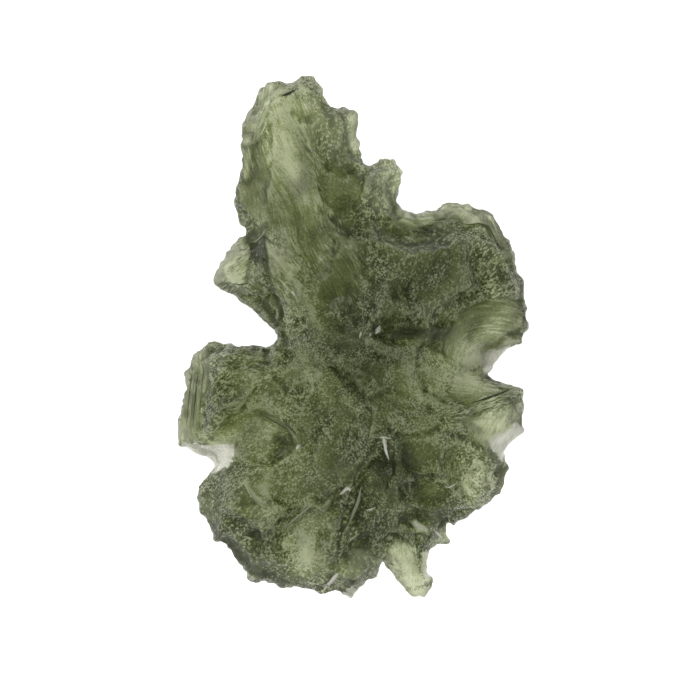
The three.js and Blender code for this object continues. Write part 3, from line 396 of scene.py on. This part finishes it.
def outward(points, x, y):
    # distance from each place to a line through points
    nearest = np.full(x.shape, 1e9)
    for (ax, ay), (bx, by) in zip(points, points[1:]):
        dx, dy = bx - ax, by - ay
        share = np.clip(((x - ax) * dx + (y - ay) * dy) / (dx * dx + dy * dy), 0, 1)
        nearest = np.minimum(nearest, np.hypot(x - ax - share * dx, y - ay - share * dy))
    return nearest


def inward(points, x, y):
    # distance from each place to the edge of a facet, negative outside it
    ring = points + points[:1]
    inside = np.zeros(x.shape, bool)
    for (ax, ay), (bx, by) in zip(ring, ring[1:]):
        if by != ay:
            inside ^= ((ay > y) != (by > y)) & (x < ax + (y - ay) * (bx - ax) / (by - ay))
    nearest = outward(ring, x, y)
    return np.where(inside, nearest, -nearest)


def oval(x, y, spot):
    turn = math.radians(spot["turn"])
    along = (x - spot["x"]) * math.cos(turn) + (y - spot["y"]) * math.sin(turn)
    across = (y - spot["y"]) * math.cos(turn) - (x - spot["x"]) * math.sin(turn)
    return np.exp(-(along / spot["long"]) ** 2 - (across / spot["wide"]) ** 2)


def streakNoise(across, along, lines):
    # uneven lines, apart from each other and long by run times that
    apart, run = lines["apart"], lines["run"]
    return np.array([noise.noise(Vector((a / apart, b / (apart * run), lines["shift"])))
                     for a, b in zip(across, along)])


def cellDistance(places, cells):
    # distance to the nearest of scattered cell centres, in cells
    shift = Vector((cells["shift"],) * 3)
    return np.array([noise.voronoi(Vector(p) / cells["across"] + shift)[0][0] for p in places])


def bowl(distance):
    # height of a round hollow, below zero in its middle and about level on the whole
    return etching["bowl"]["steep"] * distance ** 2 - etching["bowl"]["deep"]


def surfaceMap(places, up):
    # tone, frost, grain, flow and height of the surface at every place, from the facets and the etching
    # flow is where the place lies in the scattered grain, which is drawn out along the flutes
    x, y = places[:, 0], places[:, 1]
    stray = etching["wander"]
    wander = np.array([noise.noise_vector(Vector(p) * stray["often"]) for p in places])
    edgeX = x + stray["far"] * wander[:, 0]
    edgeY = y + stray["far"] * wander[:, 1]
    bend = etching["sweep"]
    sweep = np.array([noise.noise_vector(Vector(p) * bend["often"]) for p in places])
    sweptX = x + bend["far"] * sweep[:, 0]
    sweptY = y + bend["far"] * sweep[:, 1]
    tone = sum(shade["tone"] * oval(x, y, shade) for shade in shades)
    frost = np.full(x.shape, usualFrost)
    grain = np.full(x.shape, usualGrain)
    height = np.zeros(x.shape)
    facetTone = np.zeros(x.shape)
    fan = etching["fan"]
    fromMiddle = np.stack([sweptX - fan["x"], sweptY - fan["y"], places[:, 2]], axis=1)
    reach = np.hypot(fromMiddle[:, 0], fromMiddle[:, 1]) + fan["least"]
    flow = fromMiddle * (reach / fan["usual"])[:, None] ** (fan["power"] - 1)
    bed = flow.copy()  # for the lumps and wells, which no flute draws out
    lines = etching["streaks"]
    for facet in facets:
        depth = inward(facet["points"], edgeX, edgeY)
        share = np.clip(depth / facet.get("edge", usualEdge) + 0.5, 0, 1)
        frost += share * (facet["frost"] - frost)
        grain += share * (facet["grain"] - grain)
        facetTone += share * (facet["tone"] - facetTone)
        # painted shade along the facet's crease, from its rim tone
        facetTone += facet.get("rim", usualRimShade) * np.exp(-(depth / rimWidth) ** 2)
        height -= share * facet["sink"] * up
        lined = np.flatnonzero(share > lines["faint"])
        if "streak" in facet:
            turn = math.radians(facet["streak"])
            across = sweptY[lined] * math.cos(turn) - sweptX[lined] * math.sin(turn)
            along = sweptX[lined] * math.cos(turn) + sweptY[lined] * math.sin(turn)
        elif "arcs" in facet:
            aboutX, aboutY = facet["arcs"]
            across = np.hypot(sweptX[lined] - aboutX, sweptY[lined] - aboutY)
            along = lines["arcRadius"] * np.arctan2(sweptY[lined] - aboutY, sweptX[lined] - aboutX)
        else:
            continue
        depths = lines["depth"] * streakNoise(across, along, lines)
        height[lined] += share[lined] * up[lined] * depths
        flow[lined, 0] = lines["narrow"] * across
        flow[lined, 1] = along / lines["run"]
        flow[lined, 2] *= lines["level"]
    drawnX = x + stray["drawn"] * wander[:, 0]
    drawnY = y + stray["drawn"] * wander[:, 1]
    for stroke in strokes:
        share = np.clip(strokeEnd - outward(stroke["points"], drawnX, drawnY) / stroke["wide"], 0, 1) * up
        frost += share * (stroke["frost"] - frost)
        facetTone += share * stroke["tone"]
        height -= share * stroke["sink"]
    grain = np.where(up > 0, grain, undersideGrain)
    patches = etching["patches"]
    patch = np.array([noise.noise(Vector(p) / patches["across"]) for p in bed])
    share = np.clip(patches["middle"] + patches["contrast"] * patch, 0, 1)
    grain *= patches["least"] + (patches["most"] - patches["least"]) * share
    lumps = etching["lumps"]
    share = lumps["least"] + (1 - lumps["least"]) * grain
    height -= share * lumps["depth"] * bowl(cellDistance(bed, lumps))
    for well in etching["wells"]:
        height += grain * well["depth"] * bowl(cellDistance(bed, well))
    return tone + facetTone, frost, grain, flow, height


def standOut(mesh, normals, spread):
    # how far in mm every place stands above its neighbourhood, below zero in a hollow
    places = np.empty(len(mesh.vertices) * 3)
    mesh.vertices.foreach_get("co", places)
    places = places.reshape(-1, 3) / mm
    ends = np.empty(len(mesh.edges) * 2, np.int64)
    mesh.edges.foreach_get("vertices", ends)
    first, second = ends[::2], ends[1::2]
    ties = np.bincount(ends, minlength=len(places))[:, None]
    even = places
    for _ in range(spread):
        total = [np.bincount(first, even[second, i], len(places))
                 + np.bincount(second, even[first, i], len(places)) for i in range(3)]
        even = 0.5 * even + 0.5 * np.array(total).T / ties
    return ((places - even) * normals).sum(axis=1)


def markBreaks(stone):
    # the fresh facets' faces get the second material
    middles = np.empty(len(stone.data.polygons) * 3)
    stone.data.polygons.foreach_get("center", middles)
    middles = middles.reshape(-1, 3) / mm
    stray = etching["wander"]
    breaks = etching["breaks"]
    wander = np.array([stray["far"] * noise.noise_vector(Vector(p) * stray["often"])
                       + breaks["far"] * noise.noise_vector(Vector(p) * breaks["often"]) for p in middles])
    x, y = (middles + wander)[:, :2].T
    fresh = np.zeros(len(middles), int)
    for facet in facets:
        if facet.get("fresh"):
            fresh |= inward(facet["points"], x, y) > breaks["inside"]
    stone.data.polygons.foreach_set("material_index", fresh)


def etchedStone():
    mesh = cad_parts["moldavite"].data.copy()
    mesh.materials.clear()
    bm = bmesh.new()
    bm.from_mesh(mesh)
    bmesh.ops.remove_doubles(bm, verts=bm.verts, dist=etching["merge"] * mm)
    bm.to_mesh(mesh)
    bm.free()
    stone = bpy.data.objects.new("etched_moldavite", mesh)
    bpy.context.scene.collection.objects.link(stone)
    bpy.context.view_layer.objects.active = stone
    remesh = stone.modifiers.new("even mesh", "REMESH")
    remesh.mode = "VOXEL"
    remesh.voxel_size = etching["voxel"] * mm
    remesh.adaptivity = 0
    bpy.ops.object.modifier_apply(modifier=remesh.name)
    below = stone.vertex_groups.new(name="underside")
    below.add([v.index for v in stone.data.vertices if v.normal.z < etching["underside"]], 1.0, "REPLACE")
    thinned = stone.modifiers.new("thinned underside", "DECIMATE")
    thinned.vertex_group = below.name
    thinned.ratio = etching["triangles"] / (2 * len(stone.data.polygons))
    bpy.ops.object.modifier_apply(modifier=thinned.name)

    bm = bmesh.new()
    bm.from_mesh(stone.data)
    for _ in range(etching["softening"]):
        bmesh.ops.smooth_vert(bm, verts=bm.verts, factor=0.5,
                              use_axis_x=True, use_axis_y=True, use_axis_z=True)
    bm.normal_update()
    places = np.array([v.co for v in bm.verts]) / mm
    normals = np.array([v.normal for v in bm.verts])
    bm.to_mesh(stone.data)
    bm.free()

    up = np.clip(normals[:, 2] * etching["slope"], 0, 1)
    tone, frost, grain, flow, height = surfaceMap(places, up)
    steep = 1 - np.abs(normals[:, 2])
    teeth = etching["teeth"]
    jags = np.array([noise.noise(Vector(p) / teeth["across"]) for p in places])
    height += teeth["depth"] * jags * steep
    low, high = (np.array(corner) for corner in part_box("moldavite"))
    places = np.clip((places + normals * height[:, None]) * mm, low, high)
    stone.data.vertices.foreach_set("co", places.ravel())
    stone.data.update()
    # painted shade on the steep walls, plus the teeth's own jagged tone
    tone += (etching["steepShade"] + teeth["tone"] * jags) * steep
    # painted shade in every hollow and painted light on every crest, by how far the place stands out
    for spread, stops in etching["ridges"]:
        height = standOut(stone.data, normals, spread)
        tone += stops * height
    crest = np.clip(height / etching["ridgeHeight"], -1, 1)
    grain = grain * (1 + etching["ridgeGrain"] * crest) + teeth["grain"] * steep
    frost += etching["ridgeFrost"] * crest
    for name, values in (("tone", tone), ("frost", frost), ("grain", grain)):
        attribute = stone.data.attributes.new(name, "FLOAT", "POINT")
        attribute.data.foreach_set("value", values)
    attribute = stone.data.attributes.new("flow", "FLOAT_VECTOR", "POINT")
    attribute.data.foreach_set("vector", flow.ravel())
    markBreaks(stone)
    stone.data.shade_smooth()
    stone.data.update()
    print("etched stone:", sum(len(face.vertices) - 2 for face in stone.data.polygons), "triangles")
    return stone


def addNode(tree, kind, settings=None, inputs=None):
    # settings are the node's own, and an input is a value or another node's output
    node = tree.nodes.new(kind)
    for name, value in (settings or {}).items():
        setattr(node, name, value)
    for name, value in (inputs or {}).items():
        if isinstance(value, bpy.types.NodeSocket):
            tree.links.new(value, node.inputs[name])
        else:
            node.inputs[name].default_value = value
    return node


# Natural glass, etched by ground water: olive green all through and see-through, with a satin skin.
etchedGlass = {
    "ior": 1.49,
    "clear": 0.85,
    "tones": [(-2.0, "#1a240a"), (-1.0, "#48552b"), (0.0, "#909a62"), (1.0, "#f8faec")],
    "frost": "#dee3c8",
    "frostShare": 0.48,
    "depthColour": (0.41, 0.46, 0.19, 1),
    "density": 350,
    "roughness": 0.4,
    "skin": 0.12,  # share of the thin glossy skin on every grain
    "skinRoughness": 0.3,
    "mirror": (0.92, 0.97, 0.82, 1),  # tint of what the surface mirrors straight on
    "grain": 0.11,  # mm, as are the cell, the bump and the sand
    "cell": 0.1,
    "bump": 0.09,
    "sand": 0.08,
    "cellShare": 0.5,
    "noiseDetail": 2.0,
    "noiseRoughness": 0.8,
    "dotPower": 3.0,  # leaves few bright cells among many dark ones
    "speckle": 6.0,  # stops of tone, as is sandTone
    "evenSpeckle": 0.12,  # share of the speckle that shows without grain, as is evenSand
    "sandTone": 1.6,
    "evenSand": 0.4,
    # painted glints: the share of the cells whitened in the colour, and how strongly
    "sparks": 0.12,  # share of the cells that glint
    "glints": 0.9,
}


def makeEtchedGlass():
    material = bpy.data.materials.new("etchedMoldaviteGlass")
    material.use_nodes = True
    tree = material.node_tree
    tree.nodes.clear()
    tone = addNode(tree, "ShaderNodeAttribute", {"attribute_name": "tone"}).outputs["Fac"]
    frost = addNode(tree, "ShaderNodeAttribute", {"attribute_name": "frost"}).outputs["Fac"]
    grain = addNode(tree, "ShaderNodeAttribute", {"attribute_name": "grain"}).outputs["Fac"]
    flow = addNode(tree, "ShaderNodeAttribute", {"attribute_name": "flow"}).outputs["Vector"]
    soft = addNode(tree, "ShaderNodeTexNoise", inputs={
        "Vector": flow, "Scale": 1 / etchedGlass["grain"],
        "Detail": etchedGlass["noiseDetail"], "Roughness": etchedGlass["noiseRoughness"]}).outputs[0]
    cells = addNode(tree, "ShaderNodeTexVoronoi", {"feature": "F1"}, {
        "Vector": flow, "Scale": 1 / etchedGlass["cell"], "Randomness": 1.0}).outputs["Color"]
    crisp = addNode(tree, "ShaderNodeSeparateColor", inputs={0: cells})
    dots = addNode(tree, "ShaderNodeMath", {"operation": "POWER"}, {
        0: crisp.outputs[0], 1: etchedGlass["dotPower"]}).outputs[0]
    speckle = addNode(tree, "ShaderNodeMix", {"data_type": "FLOAT"}, {
        0: etchedGlass["cellShare"], 2: soft, 3: dots}).outputs[0]
    strength = addNode(tree, "ShaderNodeMath", {"operation": "MULTIPLY_ADD"}, {
        0: grain, 1: etchedGlass["speckle"],
        2: etchedGlass["evenSpeckle"] * etchedGlass["speckle"]}).outputs[0]
    places = addNode(tree, "ShaderNodeTexCoord").outputs["Object"]
    grains = addNode(tree, "ShaderNodeTexVoronoi", {"feature": "F1"}, {
        "Vector": places, "Scale": 1 / (etchedGlass["sand"] * mm), "Randomness": 1.0}).outputs["Color"]
    sand = addNode(tree, "ShaderNodeSeparateColor", inputs={0: grains}).outputs[0]
    sand = addNode(tree, "ShaderNodeMath", {"operation": "SUBTRACT"}, {0: sand, 1: 0.5}).outputs[0]
    sandTone = addNode(tree, "ShaderNodeMath", {"operation": "MULTIPLY_ADD"}, {
        0: grain, 1: (1 - etchedGlass["evenSand"]) * etchedGlass["sandTone"],
        2: etchedGlass["evenSand"] * etchedGlass["sandTone"]}).outputs[0]
    sanded = addNode(tree, "ShaderNodeMath", {"operation": "MULTIPLY_ADD"}, {
        0: sand, 1: sandTone, 2: tone}).outputs[0]
    usual = 0.5 - 0.25 * etchedGlass["cellShare"]  # the mean of the noise and the dots as mixed
    speckled = addNode(tree, "ShaderNodeMath", {"operation": "SUBTRACT"}, {0: speckle, 1: usual}).outputs[0]
    light = addNode(tree, "ShaderNodeMath", {"operation": "MULTIPLY_ADD"}, {
        0: speckled, 1: strength, 2: sanded}).outputs[0]
    darkest = etchedGlass["tones"][0][0]
    lightest = etchedGlass["tones"][-1][0]
    place = addNode(tree, "ShaderNodeMapRange", inputs={
        "Value": light, "From Min": darkest, "From Max": lightest}).outputs[0]
    ramp = addNode(tree, "ShaderNodeValToRGB", inputs={"Fac": place})
    stops = ramp.color_ramp.elements
    for middle in etchedGlass["tones"][1:-1]:
        stops.new((middle[0] - darkest) / (lightest - darkest))
    for stop, (_, colour) in zip(stops, etchedGlass["tones"]):
        stop.color = linear(colour) + [1]
    # painted glints: the brightest cells are whitened in the base colour
    spark = addNode(tree, "ShaderNodeMapRange", inputs={
        "Value": crisp.outputs[1], "From Min": 1 - etchedGlass["sparks"], "From Max": 1.0}).outputs[0]
    glint = addNode(tree, "ShaderNodeMath", {"operation": "MULTIPLY"}, {0: spark, 1: grain}).outputs[0]
    glint = addNode(tree, "ShaderNodeMath", {"operation": "MULTIPLY", "use_clamp": True}, {
        0: glint, 1: etchedGlass["glints"]}).outputs[0]
    whitened = addNode(tree, "ShaderNodeMath", {"operation": "MULTIPLY_ADD", "use_clamp": True}, {
        0: frost, 1: etchedGlass["frostShare"], 2: glint}).outputs[0]
    colour = addNode(tree, "ShaderNodeMix", {"data_type": "RGBA", "blend_type": "MIX"}, {0: whitened})
    tree.links.new(ramp.outputs[0], colour.inputs[6])
    colour.inputs[7].default_value = linear(etchedGlass["frost"]) + [1]
    bump = addNode(tree, "ShaderNodeBump", inputs={
        "Height": speckle, "Strength": 1.0, "Distance": etchedGlass["bump"] * mm})
    shader = addNode(tree, "ShaderNodeBsdfPrincipled", inputs={
        "Base Color": colour.outputs[2],
        "Roughness": etchedGlass["roughness"],
        "IOR": etchedGlass["ior"],
        "Specular Tint": etchedGlass["mirror"],
        "Transmission Weight": etchedGlass["clear"],
        "Coat Weight": etchedGlass["skin"],
        "Coat Roughness": etchedGlass["skinRoughness"],
        "Coat Normal": bump.outputs[0],
        "Normal": bump.outputs[0]})
    inside = addNode(tree, "ShaderNodeVolumeAbsorption", inputs={
        "Color": etchedGlass["depthColour"], "Density": etchedGlass["density"]})
    addNode(tree, "ShaderNodeOutputMaterial", inputs={
        "Surface": shader.outputs[0], "Volume": inside.outputs[0]})
    return material


def crackWalls(stone):
    bpy.context.view_layer.update()
    tree = BVHTree.FromObject(stone, bpy.context.evaluated_depsgraph_get())
    bm = bmesh.new()
    bright = []
    for flaw in flaws:
        points = np.array(flaw["points"])
        knots = np.linspace(0, 1, len(points))
        last = None
        for i in range(flawRings):
            share = i / (flawRings - 1)
            x, y = (np.interp(share, knots, points[:, axis]) for axis in (0, 1))
            if last is None:
                ahead = points[1] - points[0]
            else:
                ahead = np.array((x, y)) - last
            last = np.array((x, y))
            side = np.array((-ahead[1], ahead[0])) / np.hypot(*ahead)
            half = flaw["wide"] / 2 * max(math.sin(math.pi * share), flawTip)
            top = tree.ray_cast(Vector((x, y, castHeight)) * mm, Vector((0, 0, -1)))[0].z / mm
            ring = [(x + half * side[0], y + half * side[1], top),
                    (x, y, top + flawLift),
                    (x - half * side[0], y - half * side[1], top),
                    (x, y, top - flawDepth)]
            ring = [bm.verts.new(Vector(p) * mm) for p in ring]
            bright += [flaw["bright"]] * 4
            if i == 0:
                bm.faces.new(ring)
            else:
                for a in range(4):
                    bm.faces.new((before[a], before[a - 1], ring[a - 1], ring[a]))
            before = ring
        bm.faces.new(ring[::-1])
    bmesh.ops.recalc_face_normals(bm, faces=bm.faces)
    mesh = bpy.data.meshes.new("crack walls")
    bm.to_mesh(mesh)
    bm.free()
    attribute = mesh.attributes.new("bright", "FLOAT", "POINT")
    attribute.data.foreach_set("value", bright)
    mesh.shade_smooth()
    walls = bpy.data.objects.new("crack_walls", mesh)
    bpy.context.scene.collection.objects.link(walls)
    print("crack walls:", len(flaws))
    return walls


# Fresh glass in a crack scatters all its light, so it looks white.
crackGlass = {
    "tones": [(0.0, "#2c3616"), (0.2, "#7d875a"), (1.0, "#fbfbf5")],
    "roughness": 0.5,
    "clear": 0.2,
    "ior": 1.49,
}


def makeCrackGlass():
    material = bpy.data.materials.new("brokenMoldaviteGlass")
    material.use_nodes = True
    tree = material.node_tree
    tree.nodes.clear()
    bright = addNode(tree, "ShaderNodeAttribute", {"attribute_name": "bright"}).outputs["Fac"]
    ramp = addNode(tree, "ShaderNodeValToRGB", inputs={"Fac": bright})
    stops = ramp.color_ramp.elements
    stops.new(crackGlass["tones"][1][0])
    for stop, (_, colour) in zip(stops, crackGlass["tones"]):
        stop.color = linear(colour) + [1]
    shader = addNode(tree, "ShaderNodeBsdfPrincipled", inputs={
        "Base Color": ramp.outputs[0],
        "Roughness": crackGlass["roughness"],
        "IOR": crackGlass["ior"],
        "Transmission Weight": crackGlass["clear"]})
    addNode(tree, "ShaderNodeOutputMaterial", inputs={"Surface": shader.outputs[0]})
    return material


# A flake that broke off not long ago left a white face.
breakGlass = {
    "tones": [(0.3, "#cfd2bd"), (0.6, "#ffffff")],
    "roughness": 0.5,
    "clear": 0.2,
    "ior": 1.49,
}


def makeBreakGlass():
    material = bpy.data.materials.new("freshMoldaviteGlass")
    material.use_nodes = True
    tree = material.node_tree
    tree.nodes.clear()
    flow = addNode(tree, "ShaderNodeAttribute", {"attribute_name": "flow"}).outputs["Vector"]
    speckle = addNode(tree, "ShaderNodeTexNoise", inputs={
        "Vector": flow, "Scale": 1 / etchedGlass["grain"],
        "Detail": etchedGlass["noiseDetail"], "Roughness": etchedGlass["noiseRoughness"]}).outputs[0]
    ramp = addNode(tree, "ShaderNodeValToRGB", inputs={"Fac": speckle})
    for stop, (place, colour) in zip(ramp.color_ramp.elements, breakGlass["tones"]):
        stop.position = place
        stop.color = linear(colour) + [1]
    shader = addNode(tree, "ShaderNodeBsdfPrincipled", inputs={
        "Base Color": ramp.outputs[0],
        "Roughness": breakGlass["roughness"],
        "IOR": breakGlass["ior"],
        "Transmission Weight": breakGlass["clear"]})
    inside = addNode(tree, "ShaderNodeVolumeAbsorption", inputs={
        "Color": etchedGlass["depthColour"], "Density": etchedGlass["density"]})
    addNode(tree, "ShaderNodeOutputMaterial", inputs={
        "Surface": shader.outputs[0], "Volume": inside.outputs[0]})
    return material


stone = etchedStone()
stone.data.materials.append(makeEtchedGlass())
stone.data.materials.append(makeBreakGlass())
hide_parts("moldavite")
walls = crackWalls(stone)
walls.data.materials.append(makeCrackGlass())
for piece in (stone, walls):
    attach(piece, "root")

# the photograph's view: straight down through a long lens, as many mm across as given at its level
view = {"x": -0.218, "y": -0.806, "level": 3.1, "across": 45.5, "lens": 200, "sensor": 36,
        "nearest": 10, "furthest": 10000}


def placeCamera():
    camera = bpy.data.cameras.new("camera")
    camera.lens = view["lens"]
    camera.sensor_width = view["sensor"]
    camera.clip_start = view["nearest"] * mm
    camera.clip_end = view["furthest"] * mm
    holder = bpy.data.objects.new("camera", camera)
    distance = view["across"] * view["lens"] / view["sensor"]
    holder.location = Vector((view["x"], view["y"], view["level"] + distance)) * mm
    bpy.context.scene.collection.objects.link(holder)
    bpy.context.scene.camera = holder


# a white table that glows as if lit from below, and soft lights above it
stage = {"tableWidth": 900, "gap": 0.05, "white": (0.8, 0.8, 0.8, 1), "roughness": 0.6,
         "light": (1, 1, 1, 1), "glow": 1.0, "sky": (0.25, 0.248, 0.205, 1)}
lamps = [
    {"name": "window", "at": (-190, 170, 150), "size": 40, "watts": 0.34},
    {"name": "fill", "at": (200, -60, 220), "size": 30, "watts": 0.18},
    {"name": "reflector", "at": (-170, -170, 150), "size": 60, "watts": 0.2},
]
lampColour = (1.0, 0.99, 0.9)


def lightStage():
    bm = bmesh.new()
    bmesh.ops.create_grid(bm, x_segments=1, y_segments=1, size=stage["tableWidth"] / 2 * mm)
    mesh = bpy.data.meshes.new("light table")
    bm.to_mesh(mesh)
    bm.free()
    table = bpy.data.objects.new("light_table", mesh)
    table.location.z = -stage["gap"] * mm
    bpy.context.scene.collection.objects.link(table)
    material = bpy.data.materials.new("whiteTable")
    material.use_nodes = True
    tree = material.node_tree
    tree.nodes.clear()
    shader = addNode(tree, "ShaderNodeBsdfPrincipled", inputs={
        "Base Color": stage["white"], "Roughness": stage["roughness"],
        "Emission Color": stage["light"], "Emission Strength": stage["glow"]})
    addNode(tree, "ShaderNodeOutputMaterial", inputs={"Surface": shader.outputs[0]})
    table.data.materials.append(material)
    world = bpy.data.worlds.new("room")
    world.use_nodes = True
    world.node_tree.nodes["Background"].inputs["Color"].default_value = stage["sky"]
    bpy.context.scene.world = world
    for lamp in lamps:
        light = bpy.data.lights.new(lamp["name"], "AREA")
        light.size = lamp["size"] * mm
        light.energy = lamp["watts"]
        light.color = lampColour
        holder = bpy.data.objects.new(lamp["name"], light)
        holder.location = Vector(lamp["at"]) * mm
        holder.rotation_euler = (-holder.location).to_track_quat("-Z", "Y").to_euler()
        bpy.context.scene.collection.objects.link(holder)
    bpy.context.scene.view_settings.view_transform = "Standard"


placeCamera()
lightStage()
print("stage is set")
